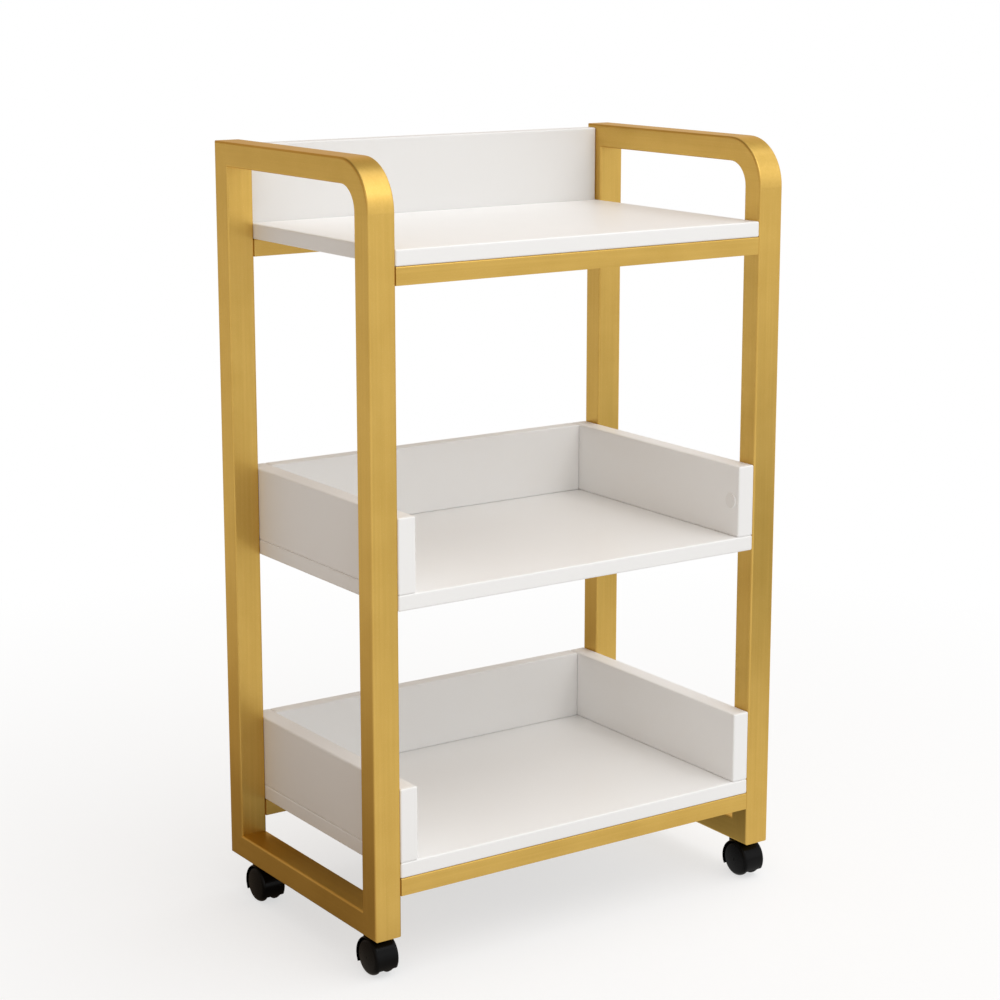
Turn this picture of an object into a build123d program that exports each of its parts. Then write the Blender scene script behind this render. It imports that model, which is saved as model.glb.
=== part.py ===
from build123d import *
from math import cos, radians, sin
import os

os.makedirs("parts", exist_ok=True)

# Three-tier trolley cart: two closed side frames of rectangular tube, joined by folded crossbars,
# carrying one open shelf with a back board and two trays, on four twin-wheel swivel casters.
# Millimetres. The origin is on the floor under the middle of the cart: X runs across the cart,
# -Y is the open front, +Z is up.

# Driving dimensions
WIDTH = 500            # outside of one side frame to the outside of the other
DEPTH = 300            # front face to rear face of a side frame
HEIGHT = 805           # floor to the top of the side frames
RAIL_BOTTOM = 42       # floor to the underside of the side frames, which is a caster's height

TUBE_WIDE = 30         # frame tube, across the cart
TUBE_DEEP = 25         # frame tube, in the plane of the side frame
TUBE_WALL = 1.5
TUBE_CORNER = 2.2      # rounding along the tube's edges
BEND_RADIUS = 50       # outside of the bend between top rail and front post

BOARD = 16             # thickness of the shelf boards and back panels
SIDE_PANEL = 20        # thickness of the trays' side panels
BOARD_EDGE = 1.8       # rounding of the boards' edges
TOP_SHELF = 721        # floor to the upper face of each shelf
MIDDLE_SHELF = 389
BOTTOM_SHELF = 118
TOP_PANEL_TOP = 801    # floor to the top of each tier's upright panels
MIDDLE_PANEL_TOP = 465
BOTTOM_PANEL_TOP = 194

BAR_HIGH = 18          # crossbars, folded from sheet, open underneath
BAR_SHEET = 1.5
BAR_GAP = 0.3          # the crossbar stops short of the post, and its end plate reaches it
END_PLATE = 3

CASTER_X = 235         # stems, from the middle of the cart
CASTER_Y = 115
WHEEL_RADIUS = 19
TRAIL = 13             # axle behind the stem
CASTER_WIDTH = 27

CLEAR = 0.05           # radial room of a running fit or a screw in its hole
M6 = 6                 # screw and bolt thread diameters
M8 = 8
BOARD_SCREW = 4
PANEL_SCREW = 5

# Planes and lines that several parts share
frame_x = WIDTH / 2 - TUBE_WIDE           # inner face of a side frame
front_y = -DEPTH / 2
rear_y = DEPTH / 2
window_y = DEPTH / 2 - TUBE_DEEP          # inner face of the posts
post_y = DEPTH / 2 - TUBE_DEEP / 2        # middle of a post
panel_x = frame_x - SIDE_PANEL            # inner face of a tray's side panels
back_y = rear_y - BOARD                   # front face of the back panels
bar_top_z = {"top": TOP_SHELF - BOARD, "bottom": BOTTOM_SHELF - BOARD}
bar_screw_z = {tier: z - BAR_SHEET - (BAR_HIGH - BAR_SHEET) / 2 for tier, z in bar_top_z.items()}
tray_bolt_z = (MIDDLE_SHELF + MIDDLE_PANEL_TOP) / 2
SIDES = {"left": -1, "right": 1}
CORNERS = {
    "front_left": (-CASTER_X, -CASTER_Y),
    "front_right": (CASTER_X, -CASTER_Y),
    "rear_left": (-CASTER_X, CASTER_Y),
    "rear_right": (CASTER_X, CASTER_Y),
}

# Fastener sizes
RIVET_NUT_RADIUS = 4.5
RIVET_NUT_LENGTH = 12
RIVET_BULGE = 1.3                         # collar crimped behind the tube wall
RIVET_ROOT = 1                            # depth of the collar's root in the nut's body
CASTER_NUT_RADIUS = 5.5
CASTER_NUT_LENGTH = 16
SCREW_PAST_NUT = 1                        # thread showing behind a rivet nut
STEM_PAST_NUT = 2
PILOT_ROOM = 1                            # depth of a pilot hole beyond its screw
BAR_SCREW_HEAD = (5, 4)                   # radius and height
HEX_SOCKET = (2.6, 2)                     # corner radius and depth of a bolt's hexagon socket
CROSS_RECESS = (4, 1, 1.4)                # length, width and depth of a wood screw's cross recess
TRAY_BOLT_HEAD = (5.5, 3.5)
TRAY_BORE = (6.1, 5)                      # counterbore in the side panel for the bolt head
BOARD_SCREW_HEAD = (4, 2.5)
BOARD_SCREW_LENGTH = 13
PANEL_SCREW_HEAD = (4, 3)                 # countersunk
PANEL_SCREW_LENGTH = 46
BACK_SCREW_LENGTH = 44
CAP_RADIUS = 8
CAP_THICK = 1.4
REAR_CAP = (6, 1.2)                       # let in flush with the back board's rear face
TOLERANCE = 0.01                          # for comparing sizes

# Where the fasteners go. The back panel's ends cover the heads of the middle tray's rear bolts.
bar_ends = [(y, z) for y in (-post_y, post_y) for z in bar_screw_z.values()]
tray_bolt_points = [(-post_y, tray_bolt_z), (back_y + BOARD / 2, tray_bolt_z)]
bar_screw_x = (-150, 150)
back_panel_screw_x = (-120, 120)
side_panel_screw_y = (-110, 0, 80)
top_back_screw_x = (-160, 0, 160)
top_rear_screw_y = window_y + BAR_SHEET + BOARD_SCREW_HEAD[0] + CLEAR


def tube_outlines(inset):
    """Side outlines of a side frame's three tubes, drawn in from their faces. Slanting ends are mitres."""
    y_out, y_in = rear_y - inset, window_y + inset
    low_out, low_in = RAIL_BOTTOM + inset, RAIL_BOTTOM + TUBE_DEEP - inset
    high_out, high_in = HEIGHT - inset, HEIGHT - TUBE_DEEP + inset
    return {
        "bottom_rail": [(-y_out, low_out), (y_out, low_out), (y_in, low_in), (-y_in, low_in)],
        "rear_post": [(y_out, low_out), (y_out, high_out), (y_in, high_in), (y_in, low_in)],
        "bent_rail": [
            (-y_out, low_out), (-y_out, high_out), (y_out, high_out), (y_in, high_in), (-y_in, high_in),
            (-y_in, low_in),
        ],
    }


def draw_tube(tube, inset):
    """Draw one tube's side outline in the current sketch, with the bend where the tube has one."""
    outline = tube_outlines(inset)[tube]
    Polygon(*outline, align=None)
    if tube == "bent_rail":
        outer_corner = vertices().sort_by_distance(outline[1])[0]
        fillet(outer_corner, BEND_RADIUS - inset)
        inner_corner = vertices().sort_by_distance(outline[4])[0]
        fillet(inner_corner, BEND_RADIUS - TUBE_DEEP + inset)


def is_mitre(edge):
    """Whether an edge of a tube's side face runs across the tube, along a mitre."""
    run = edge @ 1 - edge @ 0
    return edge.geom_type == GeomType.LINE and abs(abs(run.Y) - abs(run.Z)) < TOLERANCE


def frame_tube(tube, side, way):
    """One tube of a side frame: bent_rail is front post and top rail in one, then the others."""
    x_start = min(way * WIDTH / 2, way * frame_x)
    with BuildPart() as piece:
        with BuildSketch(Plane.YZ.offset(x_start)):
            draw_tube(tube, 0)
        extrude(amount=TUBE_WIDE)
        long_edges = [e for e in piece.faces().filter_by(Axis.X).edges() if not is_mitre(e)]
        fillet(long_edges, TUBE_CORNER)
        with BuildSketch(Plane.YZ.offset(x_start + TUBE_WALL)):
            draw_tube(tube, TUBE_WALL)
        extrude(amount=TUBE_WIDE - 2 * TUBE_WALL, mode=Mode.SUBTRACT)
        if tube == "bottom_rail":
            # holes in the underside for the caster sockets
            with BuildSketch(Plane.XY.offset(RAIL_BOTTOM)):
                with Locations((way * CASTER_X, -CASTER_Y), (way * CASTER_X, CASTER_Y)):
                    Circle(CASTER_NUT_RADIUS + CLEAR)
            extrude(amount=2 * TUBE_WALL, mode=Mode.SUBTRACT)
        else:
            # holes in the post's inner face for the rivet nuts
            at_rear = tube == "rear_post"
            own_points = [(y, z) for y, z in bar_ends + tray_bolt_points if (y > 0) == at_rear]
            with BuildSketch(Plane.YZ.offset(way * frame_x)):
                with Locations(*own_points):
                    Circle(RIVET_NUT_RADIUS + CLEAR)
            extrude(amount=way * 2 * TUBE_WALL, mode=Mode.SUBTRACT)
    piece.part.label = f"{tube}_{side}"
    export_step(piece.part, f"parts/{tube}_{side}.step")


def crossbar(name, y, top_z, holes):
    """A folded channel, open underneath, with screw holes through its web into the shelf."""
    half = frame_x - BAR_GAP
    with BuildPart() as bar:
        with BuildSketch(Plane.YZ.offset(-half)):
            with Locations((y, top_z - BAR_HIGH / 2)):
                Rectangle(TUBE_DEEP, BAR_HIGH)
        extrude(amount=2 * half)
        fillet(bar.edges().filter_by(Axis.X).group_by(Axis.Z)[-1], BAR_SHEET)
        with BuildSketch(Plane.YZ.offset(-half)):
            with Locations((y, top_z - BAR_SHEET - BAR_HIGH / 2)):
                Rectangle(TUBE_DEEP - 2 * BAR_SHEET, BAR_HIGH)
        extrude(amount=2 * half, mode=Mode.SUBTRACT)
        with BuildSketch(Plane.XY.offset(top_z)):
            with Locations(*holes):
                Circle(BOARD_SCREW / 2 + CLEAR)
        extrude(amount=-2 * BAR_SHEET, mode=Mode.SUBTRACT)
    bar.part.label = name
    export_step(bar.part, f"parts/{name}.step")


def board(name, x_range, y_range, z_range, bores=()):
    """A rectangular board with rounded edges. Each bore is (plane, points, radius, depth)."""
    (x0, x1), (y0, y1), (z0, z1) = x_range, y_range, z_range
    with BuildPart() as slab:
        with BuildSketch(Plane.XY.offset(z0)):
            with Locations(((x0 + x1) / 2, (y0 + y1) / 2)):
                Rectangle(x1 - x0, y1 - y0)
        extrude(amount=z1 - z0)
        fillet(slab.edges(), BOARD_EDGE)
        for plane, points, radius, depth in bores:
            with BuildSketch(plane):
                with Locations(*points):
                    Circle(radius)
            extrude(amount=depth, mode=Mode.SUBTRACT)
    slab.part.label = name
    export_step(slab.part, f"parts/{name}.step")


def countersunk_bores(plane, points):
    """The bores of a countersunk panel screw that enters at the plane, as steps of the head."""
    head, sink = PANEL_SCREW_HEAD
    through = (plane, points, PANEL_SCREW / 2 + CLEAR, BOARD)
    mouth = (plane, points, head + CLEAR, sink)
    return [through, mouth]


def hexagon(radius):
    """Sketch of a hexagon socket."""
    RegularPolygon(radius, 6)


def cross(length, width):
    """Sketch of a cross recess."""
    Rectangle(length, width)
    Rectangle(width, length)


def headed_group(name, rows, shank_radius, shank_length, head, drive, drive_size):
    """Screws as one group. Each row is (plane at the head's bearing face, points, way along it)."""
    head_radius, head_height = head
    with BuildPart() as group:
        for plane, points, way in rows:
            with BuildSketch(plane):
                with Locations(*points):
                    Circle(shank_radius)
            extrude(amount=way * shank_length)
            with BuildSketch(plane):
                with Locations(*points):
                    Circle(head_radius)
            extrude(amount=-way * head_height)
        rims = group.edges().filter_by(GeomType.CIRCLE)
        head_rims = rims.filter_by(lambda e: abs(e.radius - head_radius) < TOLERANCE)
        outward = [e for e in head_rims if not on_bearing_face(e, rows)]
        fillet(outward, head_height / 4)
        for plane, points, way in rows:
            with BuildSketch(plane.offset(-way * head_height)):
                with Locations(*points):
                    drive(*drive_size[:-1])
            extrude(amount=way * drive_size[-1], mode=Mode.SUBTRACT)
    group.part.label = name
    export_step(group.part, f"parts/{name}.step")


def countersunk_screws(name, placings, length):
    """Countersunk screws as one group. Each placing is at the head's face, with Z along the screw."""
    from_face = (Align.CENTER, Align.CENTER, Align.MIN)
    head_radius, head_height = PANEL_SCREW_HEAD
    arm, width, depth = CROSS_RECESS
    with BuildPart() as group:
        with Locations(*placings):
            Cylinder(PANEL_SCREW / 2, length, align=from_face)
            Cone(head_radius, PANEL_SCREW / 2, head_height, align=from_face)
            Box(arm, width, depth, align=from_face, mode=Mode.SUBTRACT)
            Box(width, arm, depth, align=from_face, mode=Mode.SUBTRACT)
    group.part.label = name
    export_step(group.part, f"parts/{name}.step")


def on_bearing_face(edge, rows):
    """Whether a head's rim lies on the face that bears on the work."""
    return any(abs(plane.to_local_coords(edge.arc_center).Z) < TOLERANCE for plane, _, _ in rows)


def discs(name, rows, radius, thickness, rounding):
    """Flat caps as one group, each with its outer rim rounded."""
    with BuildPart() as group:
        for plane, points, way in rows:
            with BuildSketch(plane):
                with Locations(*points):
                    Circle(radius)
            extrude(amount=way * thickness)
        rims = [e for e in group.edges().filter_by(GeomType.CIRCLE) if not on_bearing_face(e, rows)]
        fillet(rims, rounding)
    group.part.label = name
    export_step(group.part, f"parts/{name}.step")


# ---------------------------------------------------------------- side frames and crossbars
for side, way in SIDES.items():
    for tube in tube_outlines(0):
        frame_tube(tube, side, way)

top_front_holes = [(x, -post_y) for x in bar_screw_x]
top_rear_holes = [(x, top_rear_screw_y) for x in bar_screw_x]
bottom_rear_holes = [(x, post_y) for x in bar_screw_x]
crossbar("top_crossbar_front", -post_y, bar_top_z["top"], top_front_holes)
crossbar("top_crossbar_rear", post_y, bar_top_z["top"], top_rear_holes)
crossbar("bottom_crossbar_front", -post_y, bar_top_z["bottom"], top_front_holes)
crossbar("bottom_crossbar_rear", post_y, bar_top_z["bottom"], bottom_rear_holes)

with BuildPart() as end_plates:
    for way in SIDES.values():
        with BuildSketch(Plane.YZ.offset(way * frame_x)):
            with Locations(*bar_ends):
                Rectangle(TUBE_DEEP - 2 * BAR_SHEET, BAR_HIGH - BAR_SHEET)
                Circle(M6 / 2 + CLEAR, mode=Mode.SUBTRACT)
        extrude(amount=-way * END_PLATE)
end_plates.part.label = "crossbar_end_plates"
export_step(end_plates.part, "parts/crossbar_end_plates.step")

with BuildPart() as rivet_nuts:
    for way in SIDES.values():
        with BuildSketch(Plane.YZ.offset(way * frame_x)):
            with Locations(*bar_ends, *tray_bolt_points):
                Circle(RIVET_NUT_RADIUS)
                Circle(M6 / 2 + CLEAR, mode=Mode.SUBTRACT)
        extrude(amount=way * RIVET_NUT_LENGTH)
        with BuildSketch(Plane.YZ.offset(way * (frame_x + TUBE_WALL))):
            with Locations(*bar_ends, *tray_bolt_points):
                Circle(RIVET_NUT_RADIUS + RIVET_BULGE)
                Circle(RIVET_NUT_RADIUS - RIVET_ROOT, mode=Mode.SUBTRACT)
        extrude(amount=way * 2 * RIVET_BULGE)
rivet_nuts.part.label = "rivet_nuts"
export_step(rivet_nuts.part, "parts/rivet_nuts.step")

headed_group(
    "crossbar_screws",
    [(Plane.YZ.offset(way * (frame_x - END_PLATE)), bar_ends, way) for way in SIDES.values()],
    M6 / 2, END_PLATE + RIVET_NUT_LENGTH + SCREW_PAST_NUT, BAR_SCREW_HEAD, hexagon, HEX_SOCKET,
)

# ---------------------------------------------------------------- shelves and trays
full_x = (-frame_x, frame_x)
pilot = PANEL_SCREW / 2 + CLEAR
board_pilot = BOARD_SCREW / 2 + CLEAR
board_pilot_depth = BOARD_SCREW_LENGTH - BAR_SHEET + PILOT_ROOM
panel_pilot_depth = PANEL_SCREW_LENGTH - BOARD + PILOT_ROOM
side_screws = [(way * (frame_x - SIDE_PANEL / 2), y) for way in SIDES.values() for y in side_panel_screw_y]
back_screws = [(x, rear_y - BOARD / 2) for x in back_panel_screw_x]

top_under = Plane.XY.offset(bar_top_z["top"])
top_screw_z = TOP_SHELF - BOARD / 2
board(
    "top_board", full_x, (front_y, back_y), (bar_top_z["top"], TOP_SHELF),
    [
        (top_under, top_front_holes + top_rear_holes, board_pilot, board_pilot_depth),
        (Plane.XZ.offset(-back_y), [(x, top_screw_z) for x in top_back_screw_x], pilot, panel_pilot_depth),
    ],
)
rear_face = Plane.XZ.offset(-rear_y)
top_back_points = [(x, top_screw_z) for x in top_back_screw_x]
board(
    "top_back_panel", full_x, (back_y, rear_y), (bar_top_z["top"], TOP_PANEL_TOP),
    [
        (rear_face, top_back_points, pilot, BOARD),
        (rear_face, top_back_points, REAR_CAP[0] + CLEAR, REAR_CAP[1]),
        (rear_face, top_back_points, PANEL_SCREW_HEAD[0] + CLEAR, REAR_CAP[1] + PANEL_SCREW_HEAD[1]),
    ],
)


def tray(tier, shelf_z, panel_top, bar_holes, bolted):
    """A tray: a base board, with side panels and a back panel standing on it."""
    under = Plane.XY.offset(shelf_z - BOARD)
    base_bores = countersunk_bores(under, side_screws + back_screws)
    if bar_holes:
        base_bores.append((under, bar_holes, board_pilot, board_pilot_depth))
    board(f"{tier}_board", full_x, (front_y, rear_y), (shelf_z - BOARD, shelf_z), base_bores)

    on_base = Plane.XY.offset(shelf_z)
    for side, way in SIDES.items():
        x_range = (min(way * panel_x, way * frame_x), max(way * panel_x, way * frame_x))
        own_screws = [(x, y) for x, y in side_screws if x * way > 0]
        bores = [(on_base, own_screws, pilot, panel_pilot_depth)]
        if bolted:
            inner_face = Plane.YZ.offset(way * panel_x)
            bores.append((inner_face, tray_bolt_points, TRAY_BORE[0], way * TRAY_BORE[1]))
            bores.append((inner_face, tray_bolt_points, M6 / 2 + CLEAR, way * SIDE_PANEL))
        board(f"{tier}_panel_{side}", x_range, (front_y, rear_y), (shelf_z, panel_top), bores)

    board(
        f"{tier}_panel_back", (-panel_x, panel_x), (back_y, rear_y), (shelf_z, panel_top),
        [(on_base, back_screws, pilot, panel_pilot_depth)],
    )


tray("middle", MIDDLE_SHELF, MIDDLE_PANEL_TOP, [], bolted=True)
tray("bottom", BOTTOM_SHELF, BOTTOM_PANEL_TOP, top_front_holes + bottom_rear_holes, bolted=False)

headed_group(
    "tray_bolts",
    [(Plane.YZ.offset(way * (panel_x + TRAY_BORE[1])), tray_bolt_points, way) for way in SIDES.values()],
    M6 / 2, SIDE_PANEL - TRAY_BORE[1] + RIVET_NUT_LENGTH, TRAY_BOLT_HEAD, hexagon, HEX_SOCKET,
)
discs(
    "tray_bolt_caps",
    [(Plane.YZ.offset(way * panel_x), [(-post_y, tray_bolt_z)], -way) for way in SIDES.values()],
    CAP_RADIUS, CAP_THICK, CAP_THICK / 2,
)
headed_group(
    "shelf_screws",
    [
        (Plane.XY.offset(bar_top_z["top"] - BAR_SHEET), top_front_holes + top_rear_holes, 1),
        (Plane.XY.offset(bar_top_z["bottom"] - BAR_SHEET), top_front_holes + bottom_rear_holes, 1),
    ],
    BOARD_SCREW / 2, BOARD_SCREW_LENGTH, BOARD_SCREW_HEAD, cross, CROSS_RECESS,
)

countersunk_screws(
    "tray_panel_screws",
    [
        Location((x, y, shelf_z - BOARD))
        for shelf_z in (MIDDLE_SHELF, BOTTOM_SHELF)
        for x, y in side_screws + back_screws
    ],
    PANEL_SCREW_LENGTH,
)
countersunk_screws(
    "back_panel_screws",
    [Location((x, rear_y - REAR_CAP[1], top_screw_z), (90, 0, 0)) for x in top_back_screw_x],
    BACK_SCREW_LENGTH,
)

discs(
    "back_panel_caps",
    [(Plane.XZ.offset(REAR_CAP[1] - rear_y), top_back_points, -1)],
    REAR_CAP[0], REAR_CAP[1], REAR_CAP[1] / 3,
)

# ---------------------------------------------------------------- casters
AXLE_RADIUS = 2.5
AXLE_HALF = 10.5
AXLE_POINT = 0.4            # chamfers of the axle, the stem's post and its thread
POST_POINT = 0.6
THREAD_POINT = 1
POST_RADIUS = 3.25          # the stem's lower end, on which the hood swivels
POST_BOTTOM = 24
COLLAR_RADIUS = 7
COLLAR_THICK = 1.2
COLLAR_GAP = 0.2            # between the hood and the stem's collar
FENDER_GAP = 0.6            # between the tread and the fender
FENDER_WALL = 1.3
WHEEL_GAP = 0.4             # between the hood's middle and a wheel
FACE_INSET = 0.2            # of the wheels' outer faces from the hood's
HUB_GAP = 0.3               # between the axle's end and the closed hub
SOCKET_ROOM = 1             # under the end of the stem's post
HOOD_TOP = RAIL_BOTTOM - COLLAR_THICK - COLLAR_GAP
FENDER_INSIDE = WHEEL_RADIUS + FENDER_GAP
HOOD_RADIUS = FENDER_INSIDE + FENDER_WALL
HOOD_ROUNDING = 3.5         # of the fender's rims
HOOD_CUT_Z = 9              # the hood's lower edge
BODY_HALF = 5.2             # half thickness of the hood's middle, between the wheels
BOSS_HALF = 7               # half length of the boss round the stem
WHEEL_INNER_X = BODY_HALF + WHEEL_GAP
WHEEL_OUTER_X = CASTER_WIDTH / 2 - FACE_INSET
TREAD_ROUNDING = 1.2        # of the tread's inner rim
SHOULDER = 5                # rounding from the tread to the wheel's domed side
DOME_LEAN = 8               # degrees by which the domed side leans in where the shoulder ends

with BuildPart() as caster_nuts:
    with BuildSketch(Plane.XY.offset(RAIL_BOTTOM)):
        with Locations(*CORNERS.values()):
            Circle(CASTER_NUT_RADIUS)
            Circle(M8 / 2 + CLEAR, mode=Mode.SUBTRACT)
    extrude(amount=CASTER_NUT_LENGTH)
    with BuildSketch(Plane.XY.offset(RAIL_BOTTOM + TUBE_WALL)):
        with Locations(*CORNERS.values()):
            Circle(CASTER_NUT_RADIUS + RIVET_BULGE)
            Circle(CASTER_NUT_RADIUS - RIVET_ROOT, mode=Mode.SUBTRACT)
    extrude(amount=2 * RIVET_BULGE)
caster_nuts.part.label = "caster_sockets"
export_step(caster_nuts.part, "parts/caster_sockets.step")


def caster_stem(corner, x, y):
    """Threaded stem with a collar under the rail and a plain post for the hood."""
    with BuildPart() as stem:
        with BuildSketch(Plane.XY.offset(POST_BOTTOM)):
            with Locations((x, y)):
                Circle(POST_RADIUS)
        extrude(amount=RAIL_BOTTOM - POST_BOTTOM)
        chamfer(stem.faces().sort_by(Axis.Z)[0].edges(), POST_POINT)
        with BuildSketch(Plane.XY.offset(RAIL_BOTTOM - COLLAR_THICK)):
            with Locations((x, y)):
                Circle(COLLAR_RADIUS)
        extrude(amount=COLLAR_THICK)
        with BuildSketch(Plane.XY.offset(RAIL_BOTTOM)):
            with Locations((x, y)):
                Circle(M8 / 2)
        extrude(amount=CASTER_NUT_LENGTH + STEM_PAST_NUT)
        chamfer(stem.faces().sort_by(Axis.Z)[-1].edges(), THREAD_POINT)
    stem.part.label = f"caster_stem_{corner}"
    export_step(stem.part, f"parts/caster_stem_{corner}.step")


def caster_hood(corner, x, y):
    """Swivelling hood: a body between the wheels, a fender over their treads, a boss round the stem."""
    axle_y = y - TRAIL
    with BuildPart() as hood:
        with BuildSketch(Plane.YZ.offset(x - CASTER_WIDTH / 2)):
            with Locations((axle_y, WHEEL_RADIUS)):
                Circle(HOOD_RADIUS)
            with Locations((axle_y, HOOD_CUT_Z - HOOD_RADIUS)):
                Rectangle(4 * HOOD_RADIUS, 2 * HOOD_RADIUS, mode=Mode.SUBTRACT)
        extrude(amount=CASTER_WIDTH)
        rims = hood.faces().filter_by(Axis.X).edges().filter_by(GeomType.CIRCLE)
        fillet(rims, HOOD_ROUNDING)
        # round boss, up to just under the stem's collar
        with BuildSketch(Plane.XY.offset(WHEEL_RADIUS)):
            with Locations((x, y)):
                Circle(BOSS_HALF)
        extrude(amount=HOOD_TOP - WHEEL_RADIUS)
        # room for the two wheels
        for way in (-1, 1):
            with BuildSketch(Plane.YZ.offset(x + way * BODY_HALF)):
                with Locations((axle_y, WHEEL_RADIUS)):
                    Circle(FENDER_INSIDE)
            extrude(amount=way * CASTER_WIDTH, mode=Mode.SUBTRACT)
        # socket for the stem, and the axle's bore
        with BuildSketch(Plane.XY.offset(HOOD_TOP)):
            with Locations((x, y)):
                Circle(POST_RADIUS + CLEAR)
        extrude(amount=POST_BOTTOM - SOCKET_ROOM - HOOD_TOP, mode=Mode.SUBTRACT)
        with BuildSketch(Plane.YZ.offset(x - BODY_HALF)):
            with Locations((axle_y, WHEEL_RADIUS)):
                Circle(AXLE_RADIUS)
        extrude(amount=2 * BODY_HALF, mode=Mode.SUBTRACT)
    hood.part.label = f"caster_hood_{corner}"
    export_step(hood.part, f"parts/caster_hood_{corner}.step")


def caster_axle(corner, x, y):
    """Steel pin through the hood's middle and both wheels."""
    with BuildPart() as axle:
        with BuildSketch(Plane.YZ.offset(x - AXLE_HALF)):
            with Locations((y - TRAIL, WHEEL_RADIUS)):
                Circle(AXLE_RADIUS)
        extrude(amount=2 * AXLE_HALF)
        chamfer(axle.edges(), AXLE_POINT)
    axle.part.label = f"caster_axle_{corner}"
    export_step(axle.part, f"parts/caster_axle_{corner}.step")


def caster_wheel(name, x, y, way):
    """Moulded wheel, turned about the axle: narrow tread, round shoulder, domed side, closed hub."""
    bore_radius = AXLE_RADIUS + CLEAR
    bore_end = AXLE_HALF + HUB_GAP
    shoulder_end = WHEEL_RADIUS - SHOULDER * (1 - sin(radians(DOME_LEAN)))
    dome_radius = shoulder_end / sin(radians(DOME_LEAN))
    dome_height = dome_radius * (1 - cos(radians(DOME_LEAN)))
    tread_end = WHEEL_OUTER_X - dome_height - SHOULDER * cos(radians(DOME_LEAN))
    tread_start = WHEEL_INNER_X + TREAD_ROUNDING
    # the profile plane's first axis points out along the axle, its second up from the axle
    profile_plane = Plane(origin=(x, y - TRAIL, WHEEL_RADIUS), x_dir=(way, 0, 0), z_dir=(0, -way, 0))
    with BuildPart() as wheel:
        with BuildSketch(profile_plane):
            with BuildLine():
                rim = (WHEEL_INNER_X, WHEEL_RADIUS - TREAD_ROUNDING)
                Line((WHEEL_INNER_X, bore_radius), rim)
                RadiusArc(rim, (tread_start, WHEEL_RADIUS), TREAD_ROUNDING)
                tread = Line((tread_start, WHEEL_RADIUS), (tread_end, WHEEL_RADIUS))
                shoulder = JernArc(tread @ 1, tread % 1, SHOULDER, DOME_LEAN - 90)
                dome = JernArc(shoulder @ 1, shoulder % 1, dome_radius, -DOME_LEAN)
                Polyline(
                    dome @ 1, (bore_end, 0), (bore_end, bore_radius), (WHEEL_INNER_X, bore_radius),
                )
            make_face()
        revolve(axis=Axis((x, y - TRAIL, WHEEL_RADIUS), (1, 0, 0)))
    wheel.part.label = name
    export_step(wheel.part, f"parts/{name}.step")


for corner, (x, y) in CORNERS.items():
    outward = 1 if x > 0 else -1
    caster_stem(corner, x, y)
    caster_hood(corner, x, y)
    caster_axle(corner, x, y)
    caster_wheel(f"wheel_outer_{corner}", x, y, outward)
    caster_wheel(f"wheel_inner_{corner}", x, y, -outward)
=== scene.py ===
import math

import bpy
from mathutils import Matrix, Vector


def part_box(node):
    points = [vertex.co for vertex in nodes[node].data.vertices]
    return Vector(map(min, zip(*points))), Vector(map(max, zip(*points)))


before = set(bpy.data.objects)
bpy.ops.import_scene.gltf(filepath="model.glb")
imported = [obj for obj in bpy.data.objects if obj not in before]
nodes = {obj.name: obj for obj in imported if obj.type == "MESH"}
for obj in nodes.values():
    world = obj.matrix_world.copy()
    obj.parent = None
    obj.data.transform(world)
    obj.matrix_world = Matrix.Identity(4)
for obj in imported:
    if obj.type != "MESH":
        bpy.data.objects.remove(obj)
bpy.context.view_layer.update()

SIDES = ("left", "right")
CORNERS = ("front_left", "front_right", "rear_left", "rear_right")
BOARDS = (
    "top_board", "top_back_panel",
    "middle_board", "middle_panel_left", "middle_panel_right", "middle_panel_back",
    "bottom_board", "bottom_panel_left", "bottom_panel_right", "bottom_panel_back",
)


# ---------------------------------------------------------------- small node helpers
class Nodes:
    """A short way to build a node tree: add a node, set its inputs, link what is a socket."""

    def __init__(self, tree):
        self.tree = tree
        tree.nodes.clear()

    def add(self, kind, inputs=None, **settings):
        node = self.tree.nodes.new(kind)
        for name, value in settings.items():
            setattr(node, name, value)
        for name, value in (inputs or {}).items():
            self.feed(node.inputs[name], value)
        return node

    def feed(self, socket, value):
        if isinstance(value, bpy.types.NodeSocket):
            self.tree.links.new(value, socket)
        else:
            socket.default_value = value

    def math(self, operation, a, b):
        return self.add("ShaderNodeMath", {0: a, 1: b}, operation=operation).outputs[0]

    def mix(self, factor, a, b):
        """Mix two colours."""
        return self.add("ShaderNodeMix", {0: factor, 6: a, 7: b}, data_type="RGBA").outputs[2]

    def mix_numbers(self, factor, a, b):
        return self.add("ShaderNodeMix", {0: factor, 2: a, 3: b}, data_type="FLOAT").outputs[0]

    def noise(self, vector, scale, detail=3.0, roughness=0.5):
        inputs = {"Vector": vector, "Scale": scale, "Detail": detail, "Roughness": roughness}
        return self.add("ShaderNodeTexNoise", inputs).outputs["Fac"]

    def stretched(self, vector, scale):
        """The coordinate scaled by three factors, to draw a texture out along one axis."""
        inputs = {0: vector, 1: scale}
        return self.add("ShaderNodeVectorMath", inputs, operation="MULTIPLY").outputs[0]

    def measure(self, operation, vector, other=(0.0, 0.0, 0.0)):
        """A number taken from one or two vectors: LENGTH, DISTANCE or DOT_PRODUCT."""
        inputs = {0: vector, 1: other}
        return self.add("ShaderNodeVectorMath", inputs, operation=operation).outputs["Value"]

    def height(self, vector):
        return self.add("ShaderNodeSeparateXYZ", {0: vector}).outputs[2]

    def remap(self, value, low, high, to_low, to_high):
        inputs = {0: value, 1: low, 2: high, 3: to_low, 4: to_high}
        return self.add("ShaderNodeMapRange", inputs, clamp=True).outputs[0]

    def bump(self, height, strength, distance, below=None):
        inputs = {"Height": height, "Strength": strength, "Distance": distance}
        if below is not None:
            inputs["Normal"] = below
        return self.add("ShaderNodeBump", inputs).outputs["Normal"]


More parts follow.
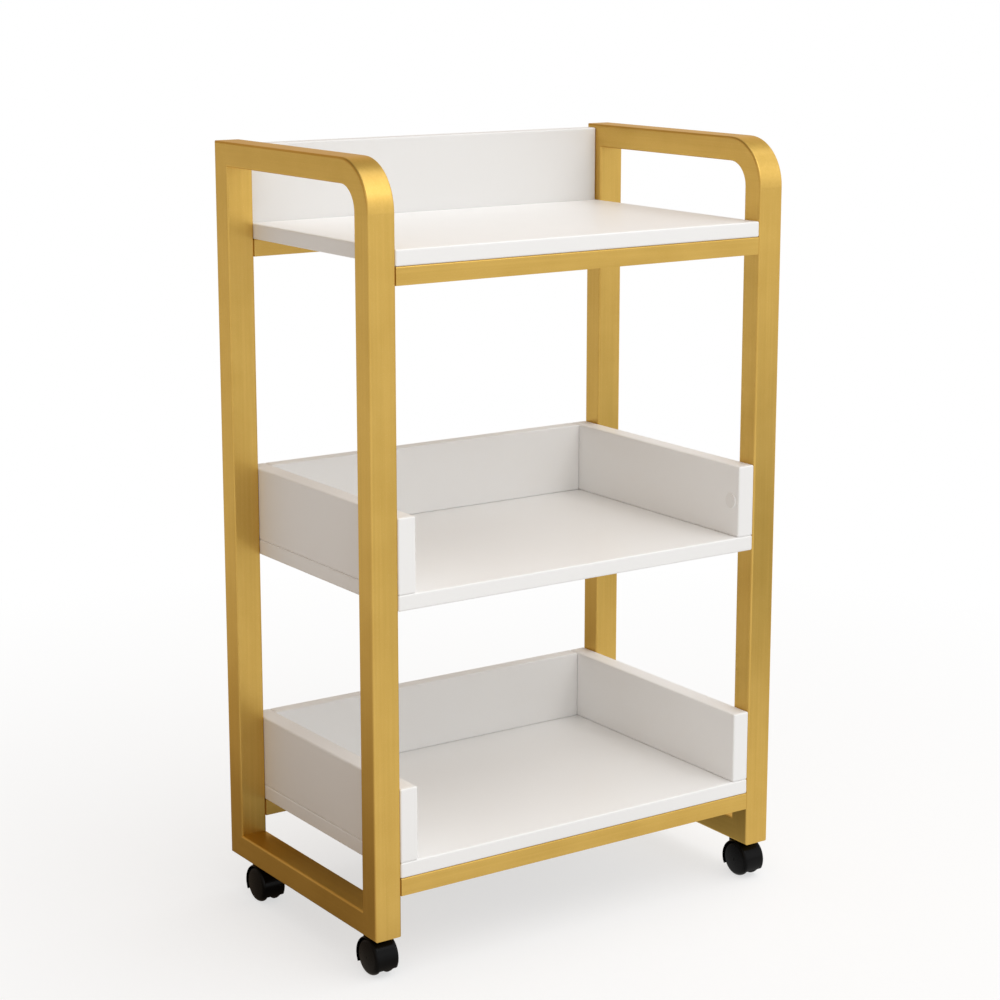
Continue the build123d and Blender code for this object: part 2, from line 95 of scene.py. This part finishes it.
def new_material(name):
    """A material with an empty tree, its object coordinate and its shader."""
    material = bpy.data.materials.new(name)
    material.use_nodes = True
    n = Nodes(material.node_tree)
    where = n.add("ShaderNodeTexCoord").outputs["Object"]
    shader = n.add("ShaderNodeBsdfPrincipled")
    n.add("ShaderNodeOutputMaterial", {"Surface": shader.outputs[0]})
    return material, n, where, shader


def colour(r, g, b):
    return (r, g, b, 1.0)


# ---------------------------------------------------------------- materials
# Texture scales are per metre, and bump distances are in metres.
GOLD = colour(0.70, 0.455, 0.108)
GOLD_DEEP = colour(0.63, 0.398, 0.086)
GOLD_FLAKE = colour(0.90, 0.68, 0.30)
GOLD_RIM = colour(0.95, 0.74, 0.36)         # tint of its grazing reflections
STREAKS = {"x": (5, 330, 330), "y": (330, 5, 330), "z": (330, 330, 5)}
BEND_RADIUS = 0.050
HALF_TURN = 0.02                            # half the height over which the streaks turn at the bend
MELAMINE_LOW = (0.915, 0.912, 0.905)
MELAMINE_HIGH = (0.94, 0.938, 0.93)
TOP_BACK_PAINTED_SHADE = 0.88                        # painted shade: this panel is drawn darker, to stand out from the backdrop
NYLON_DUST = colour(0.009, 0.008, 0.007)
ZINC_LOW, ZINC_HIGH = colour(0.50, 0.51, 0.52), colour(0.66, 0.67, 0.68)
CAP_LOW, CAP_HIGH = colour(0.84, 0.83, 0.81), colour(0.88, 0.87, 0.86)


def gold_paint(name, along, turn_z=None):
    """Satin metallic paint: faint streaks along the tube, soft mottling, fine flakes and orange peel.

    Where turn_z is given, the streaks turn from Z to Y above that height, as the bent tube does."""
    material, n, where, shader = new_material(name)
    streaks = n.noise(n.stretched(where, STREAKS[along]), scale=1.0, detail=4.0, roughness=0.6)
    if turn_z is not None:
        above = n.noise(n.stretched(where, STREAKS["y"]), scale=1.0, detail=4.0, roughness=0.6)
        turned = n.remap(n.height(where), turn_z - HALF_TURN, turn_z + HALF_TURN, 0.0, 1.0)
        streaks = n.mix_numbers(turned, streaks, above)
    mottle = n.noise(where, scale=22.0, detail=2.0)
    flakes = n.add("ShaderNodeTexVoronoi", {"Vector": where, "Scale": 2600.0}).outputs["Color"]
    flake_light = n.add("ShaderNodeSeparateColor", {0: flakes}).outputs[0]
    tone = n.math("ADD", n.math("MULTIPLY", streaks, 0.55), n.math("MULTIPLY", mottle, 0.45))
    painted = n.mix(n.remap(tone, 0.36, 0.64, 0.0, 1.0), GOLD_DEEP, GOLD)
    sparkle = n.remap(flake_light, 0.94, 1.0, 0.0, 0.25)
    n.feed(shader.inputs["Base Color"], n.mix(sparkle, painted, GOLD_FLAKE))
    shader.inputs["Metallic"].default_value = 1.0
    shader.inputs["Specular Tint"].default_value = GOLD_RIM
    shader.inputs["Coat Weight"].default_value = 0.32
    shader.inputs["Coat Roughness"].default_value = 0.2
    rough = n.math("ADD", n.math("MULTIPLY", streaks, 0.10), n.math("MULTIPLY", flake_light, 0.05))
    n.feed(shader.inputs["Roughness"], n.math("ADD", rough, 0.30))
    grain = n.bump(streaks, strength=0.05, distance=0.0005)
    peel = n.noise(where, scale=420.0, detail=2.0)
    n.feed(shader.inputs["Normal"], n.bump(peel, strength=0.06, distance=0.0005, below=grain))
    return material


def white_board(name, tone=1.0):
    """Satin white melamine: a fine pressed texture, and a slow change of tone."""
    material, n, where, shader = new_material(name)
    # a tone below 1 darkens the whole board evenly, which paints shade onto it
    low, high = [colour(*[tone * part for part in shade]) for shade in (MELAMINE_LOW, MELAMINE_HIGH)]
    n.feed(shader.inputs["Base Color"], n.mix(n.noise(where, scale=7.0), low, high))
    n.feed(shader.inputs["Roughness"], n.remap(n.noise(where, scale=60.0), 0.3, 0.7, 0.36, 0.46))
    pressed = n.noise(where, scale=900.0, detail=2.0)
    n.feed(shader.inputs["Normal"], n.bump(pressed, strength=0.10, distance=0.0002))
    return material


def black_nylon(name, rough, tint):
    """Moulded nylon with a faint flow pattern and handling dust."""
    material, n, where, shader = new_material(name)
    flow = n.noise(where, scale=140.0)
    dust = n.remap(n.noise(where, scale=380.0, detail=4.0, roughness=0.65), 0.55, 0.8, 0.0, 0.35)
    black = colour(tint, tint, tint * 1.1)
    n.feed(shader.inputs["Base Color"], n.mix(dust, black, NYLON_DUST))
    n.feed(shader.inputs["Roughness"], n.remap(flow, 0.3, 0.7, rough, rough + 0.12))
    n.feed(shader.inputs["Normal"], n.bump(flow, strength=0.05, distance=0.0004))
    shader.inputs["Specular IOR Level"].default_value = 0.11
    return material


def zinc_steel(name):
    """Bright zinc plate with a fine grain."""
    material, n, where, shader = new_material(name)
    spots = n.noise(where, scale=500.0)
    n.feed(shader.inputs["Base Color"], n.mix(spots, ZINC_LOW, ZINC_HIGH))
    shader.inputs["Metallic"].default_value = 1.0
    n.feed(shader.inputs["Roughness"], n.remap(spots, 0.3, 0.7, 0.24, 0.38))
    n.feed(shader.inputs["Normal"], n.bump(n.noise(where, scale=1500.0), strength=0.08, distance=0.0002))
    return material


def moulded_white(name):
    """Satin white plastic of the small caps."""
    material, n, where, shader = new_material(name)
    speck = n.noise(where, scale=700.0, detail=2.0)
    n.feed(shader.inputs["Base Color"], n.mix(speck, CAP_LOW, CAP_HIGH))
    n.feed(shader.inputs["Roughness"], n.remap(speck, 0.3, 0.7, 0.30, 0.40))
    n.feed(shader.inputs["Normal"], n.bump(speck, strength=0.04, distance=0.0002))
    return material


def give(material, *names):
    """Make this the only material of each CAD node named."""
    for name in names:
        piece = nodes[name]
        piece.data.materials.clear()
        piece.data.materials.append(material)


bend_start_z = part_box("bent_rail_left")[1].z - BEND_RADIUS
give(gold_paint("gold_bent_rail", "z", bend_start_z), *[f"bent_rail_{s}" for s in SIDES])
give(gold_paint("gold_post", "z"), *[f"rear_post_{s}" for s in SIDES])
give(gold_paint("gold_rail", "y"), *[f"bottom_rail_{s}" for s in SIDES])
give(
    gold_paint("gold_bar", "x"), "top_crossbar_front", "top_crossbar_rear", "bottom_crossbar_front",
    "bottom_crossbar_rear", "crossbar_end_plates",
)
give(white_board("melamine"), *BOARDS)
# the top back panel gets a darker copy of the melamine: painted shade
give(white_board("melamine_top_back_painted_shade", TOP_BACK_PAINTED_SHADE), "top_back_panel")
give(moulded_white("cap_plastic"), "tray_bolt_caps", "back_panel_caps")
give(black_nylon("hood_nylon", rough=0.16, tint=0.002), *[f"caster_hood_{c}" for c in CORNERS])
give(
    black_nylon("wheel_nylon", rough=0.22, tint=0.003),
    *[f"wheel_{w}_{c}" for w in ("outer", "inner") for c in CORNERS],
)
give(
    zinc_steel("zinc_plate"), "crossbar_screws", "rivet_nuts", "tray_bolts", "shelf_screws",
    "tray_panel_screws", "back_panel_screws", "caster_sockets",
    *[f"caster_stem_{c}" for c in CORNERS], *[f"caster_axle_{c}" for c in CORNERS],
)


# ---------------------------------------------------------------- floor, light and camera
WHITE = colour(1.0, 1.0, 1.0)
OFF_WHITE = colour(1.0, 0.985, 0.965)
PALE = colour(0.93, 0.93, 0.93)
WARM = colour(1.0, 0.76, 0.55)

# Brightness of the floor that lights the cart
MIRRORED_IN_FRONT = 0.92        # in front, as the metal reflects it
SOFT_IN_FRONT = 0.82            # in front, as it lights the boards
FAR_BEHIND = 0.80
NEAR_BEHIND = 0.25
UNDER_CART = 0.25               # share left under the cart

# Directions and places on the floor
FRONT_RIGHT = (0.56, -0.83, 0.0)
DARK_CARD = (1.22, -1.27, 0.0)
FLOOR_RADIUS = 60.0

# Ramps are (from, to, value at from, value at to). These run over metres on the floor.
SHOWN_WHITE = (0.2, 1.4, 0.62, 1.0)         # share of pure white that the camera sees
SHADE_UNDER = (0.12, 0.32, UNDER_CART, 1.0)
NEARNESS = (0.35, 1.7, 1.0, 0.0)
CARD_EDGE = (0.35, 0.80, 0.0, 1.0)
# This one runs over the cosine of the angle from FRONT_RIGHT.
IN_FRONT = (-0.45, 0.35, 0.0, 1.0)

# The surround's ramps run over the cosine of the angle from BRIGHT_SIDE
BRIGHT_SIDE = Vector((0.62, -0.72, 0.30)).normalized()
MIRRORED_GLOW = (-0.7, 0.7, 0.27, 0.97)
SOFT_GLOW = (-0.7, 0.7, 0.25, 0.62)
ABOVE_SIDE = (-0.1, 0.4, 0.0, 1.0)
CALM_SIDE = (-0.6, 0.5, 0.0, 1.0)
# and over the sine of the elevation.
LOW_BAND_START = (0.02, 0.16, 0.0, 0.30)
LOW_BAND_END = (0.45, 0.75, 1.0, 0.0)
OVERHEAD_DIM = (0.45, 0.85, 0.0, 0.30)
ABOVE_GLOW = (0.25, 0.75, 0.0, 0.82)

MIDDLE = (0.0, 0.0, 0.42)                   # of the cart, where the softboxes point
CAMERA_AT = (-1.377, -2.024, 0.981)
CAMERA_YAW = 0.5971                         # to the right of +Y, radians
CAMERA_DOWN = 0.2078
CAMERA_LENS = 85.7
CAMERA_SHIFT = -0.035
CLIP_END = 200.0                            # beyond the far edge of the floor


def studio_floor():
    """Plain pale floor, white from the camera. The metal and the boards are lit by a calmer one:
    bright in front of the cart, dim and warm close behind it, with one dark card off to the right."""
    bpy.ops.mesh.primitive_circle_add(
        vertices=96, radius=FLOOR_RADIUS, fill_type="NGON", location=(0, 0, 0),
    )
    floor = bpy.context.object
    floor.name = "floor"
    material = bpy.data.materials.new("pale_floor")
    material.use_nodes = True
    n = Nodes(material.node_tree)
    where = n.add("ShaderNodeTexCoord").outputs["Object"]
    away = n.measure("LENGTH", where)
    rays = n.add("ShaderNodeLightPath").outputs

    pale = n.add("ShaderNodeBsdfDiffuse", {"Color": PALE})
    white = n.add("ShaderNodeEmission", {"Color": WHITE, "Strength": 1.0})
    share = n.remap(away, *SHOWN_WHITE)
    shown = n.add("ShaderNodeMixShader", {0: share, 1: pale.outputs[0], 2: white.outputs[0]})

    forward = n.measure("DOT_PRODUCT", where, FRONT_RIGHT)
    in_front = n.remap(n.math("DIVIDE", forward, n.math("ADD", away, 0.01)), *IN_FRONT)
    near = n.remap(away, *NEARNESS)
    behind = n.mix_numbers(near, FAR_BEHIND, NEAR_BEHIND)
    ahead = n.mix_numbers(rays["Is Glossy Ray"], SOFT_IN_FRONT, MIRRORED_IN_FRONT)
    card = n.remap(n.measure("DISTANCE", where, DARK_CARD), *CARD_EDGE)
    shade = n.math("MULTIPLY", card, n.remap(away, *SHADE_UNDER))
    level = n.math("MULTIPLY", n.mix_numbers(in_front, behind, ahead), shade)
    warmth = n.math("MULTIPLY", near, n.math("SUBTRACT", 1.0, in_front))
    felt = n.add("ShaderNodeEmission", {"Color": n.mix(warmth, OFF_WHITE, WARM), "Strength": level})

    parts = {0: rays["Is Camera Ray"], 1: felt.outputs[0], 2: shown.outputs[0]}
    surface = n.add("ShaderNodeMixShader", parts)
    n.add("ShaderNodeOutputMaterial", {"Surface": surface.outputs[0]})
    floor.data.materials.append(material)


def studio_world():
    """A white surround. What lights the cart is brighter at the front and right than behind and left,
    and the boards get more of it from above than the metal reflects."""
    world = bpy.data.worlds.new("studio")
    bpy.context.scene.world = world
    world.use_nodes = True
    n = Nodes(world.node_tree)
    direction = n.add("ShaderNodeTexCoord").outputs["Generated"]
    rays = n.add("ShaderNodeLightPath").outputs
    height = n.height(direction)
    towards = n.measure("DOT_PRODUCT", direction, BRIGHT_SIDE)

    low_band = n.math("MULTIPLY", n.remap(height, *LOW_BAND_START), n.remap(height, *LOW_BAND_END))
    bands = n.math("SUBTRACT", low_band, n.remap(height, *OVERHEAD_DIM))
    mirrored = n.math("ADD", n.remap(towards, *MIRRORED_GLOW), bands)
    from_above = n.math("MULTIPLY", n.remap(height, *ABOVE_GLOW), n.remap(towards, *ABOVE_SIDE))
    soft = n.math("ADD", n.remap(towards, *SOFT_GLOW), from_above)
    glow = n.mix_numbers(rays["Is Glossy Ray"], soft, mirrored)

    strength = n.mix_numbers(rays["Is Camera Ray"], glow, 1.0)
    calm = n.math("MAXIMUM", n.remap(towards, *CALM_SIDE), rays["Is Camera Ray"])
    inputs = {"Color": n.mix(calm, WARM, WHITE), "Strength": strength}
    light = n.add("ShaderNodeBackground", inputs)
    n.add("ShaderNodeOutputWorld", {"Surface": light.outputs[0]})


def softbox(name, at, size, power):
    """A soft square light at a point, aimed at the middle of the cart, which the camera doesn't see."""
    data = bpy.data.lights.new(name, "AREA")
    data.shape = "SQUARE"
    data.size = size
    data.energy = power
    light = bpy.data.objects.new(name, data)
    bpy.context.scene.collection.objects.link(light)
    light.location = at
    light.rotation_euler = (Vector(MIDDLE) - Vector(at)).to_track_quat("-Z", "Y").to_euler()
    light.visible_camera = False


def camera():
    """The main view: from the front left, a little above the top shelf."""
    data = bpy.data.cameras.new("camera")
    data.sensor_width = 36.0
    data.lens = CAMERA_LENS
    data.shift_y = CAMERA_SHIFT
    data.clip_end = CLIP_END
    cam = bpy.data.objects.new("camera", data)
    bpy.context.scene.collection.objects.link(cam)
    cam.location = CAMERA_AT
    cam.rotation_euler = (math.pi / 2 - CAMERA_DOWN, 0.0, -CAMERA_YAW)
    bpy.context.scene.camera = cam


studio_floor()
studio_world()
softbox("key", at=(1.0, -0.5, 2.6), size=1.1, power=4.0)
softbox("front", at=(0.6, -2.0, 2.6), size=1.5, power=13.0)
camera()
bpy.context.scene.view_settings.view_transform = "Standard"
